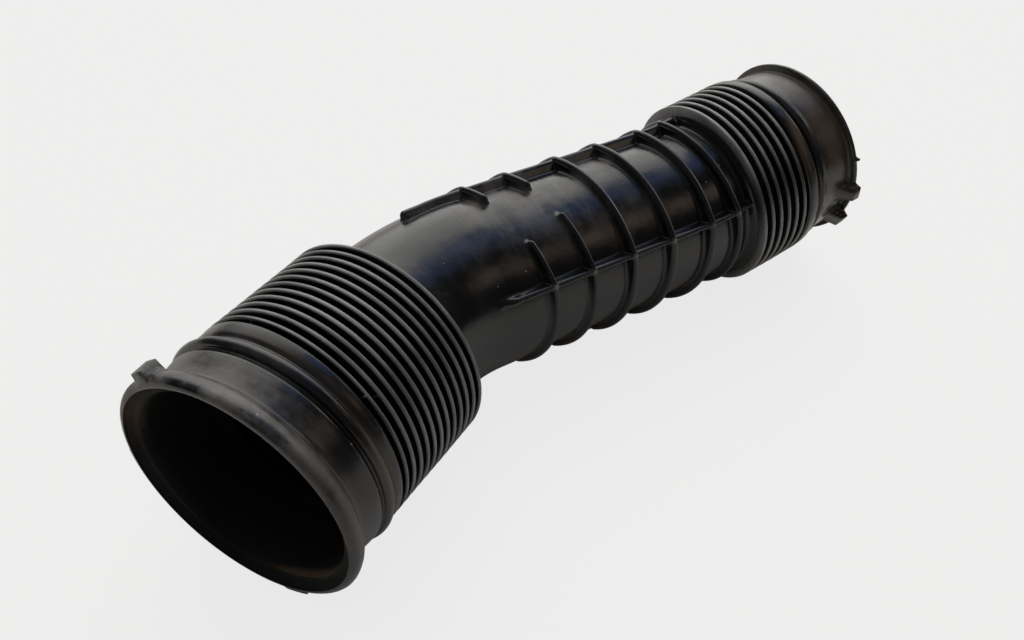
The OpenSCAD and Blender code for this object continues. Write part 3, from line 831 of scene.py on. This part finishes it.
# Light of the room: its colours low down and overhead, and what the camera sees of it
ROOM_LOW, ROOM_HIGH = (0.025, 0.023, 0.020, 1), (0.100, 0.104, 0.112, 1)
BACKDROP = (0.860, 0.860, 0.857, 1)
# Patches in it: azimuth and elevation, angles from there at which it fades and ends, and colour.
# The wide bright one is beyond the duct, the wide dark one to the right of the camera, the small
# bright one low between them, the blue one above that, and the brown one in the dark.
PATCHES = [
    (60, 30, 8, 52, (1.95, 1.93, 1.88, 1)),
    (-38, 30, 34, 52, (0.04, 0.04, 0.042, 1)),
    (2, 27, 3, 15, (1.7, 1.66, 1.6, 1)),
    (16, 59, 3, 19, (0.25, 0.41, 0.86, 1)),
    (-45, 38, 3, 12, (0.85, 0.66, 0.52, 1)),
]


def room():
    """The light of the room, which the rubber mirrors: dark all round and a little paler
    overhead, with soft round patches. A patch depends on the cosine of the angle from its
    middle. Seen by the camera itself the room is a plain pale backdrop."""
    world = bpy.data.worlds.new("room")
    world.use_nodes = True
    tree = world.node_tree
    direction = node(tree, "ShaderNodeTexCoord").outputs["Generated"]
    rise = node(tree, "ShaderNodeSeparateXYZ", {0: direction}).outputs["Z"]

    def patch(azimuth, elevation, inner, outer):
        """1 within an inner angle of a direction, falling smoothly to 0 at an outer angle."""
        inputs = {0: direction, 1: tuple(toward(azimuth, elevation))}
        nearness = node(tree, "ShaderNodeVectorMath", inputs, operation="DOT_PRODUCT").outputs["Value"]
        return ramp(tree, nearness, cos(radians(outer)), cos(radians(inner)))

    colour = blend(tree, ramp(tree, rise, -0.02, 0.5), ROOM_LOW, ROOM_HIGH)
    for azimuth, elevation, inner, outer, light in PATCHES:
        colour = blend(tree, patch(azimuth, elevation, inner, outer), colour, light)
    seen = node(tree, "ShaderNodeLightPath").outputs["Is Camera Ray"]
    colour = blend(tree, seen, colour, BACKDROP)
    tree.links.new(colour, tree.nodes["Background"].inputs["Color"])
    bpy.context.scene.world = world


room()


# The photograph's camera, found from the crests, rings and rims: focal length and width of the
# picture in pixels, place in metres, and its turn, tilt and roll from looking straight down
FOCAL_PX, PICTURE_PX, SENSOR_MM = 900, 1024, 36
CAMERA_AT = (-0.158035, -0.211745, 0.292620)
CAMERA_TURN, CAMERA_TILT, CAMERA_ROLL = -33.761, 45.341, 1.980


def camera():
    """The camera, rolled about its own axis, tilted up and then turned about the vertical. Its
    lens is the focal length in pixels times the sensor's width over the picture's."""
    eye = bpy.data.cameras.new("camera")
    eye.sensor_width = SENSOR_MM
    eye.lens = FOCAL_PX * SENSOR_MM / PICTURE_PX
    eye.clip_start, eye.clip_end = 0.01, 20
    thing = bpy.data.objects.new("camera", eye)
    thing.matrix_world = (
        Matrix.Translation(CAMERA_AT)
        @ Matrix.Rotation(radians(CAMERA_TURN), 4, "Z")
        @ Matrix.Rotation(radians(CAMERA_TILT), 4, "X")
        @ Matrix.Rotation(radians(CAMERA_ROLL), 4, "Z")
    )
    bpy.context.scene.collection.objects.link(thing)
    bpy.context.scene.camera = thing


camera()
bpy.context.scene.view_settings.view_transform = "Standard"
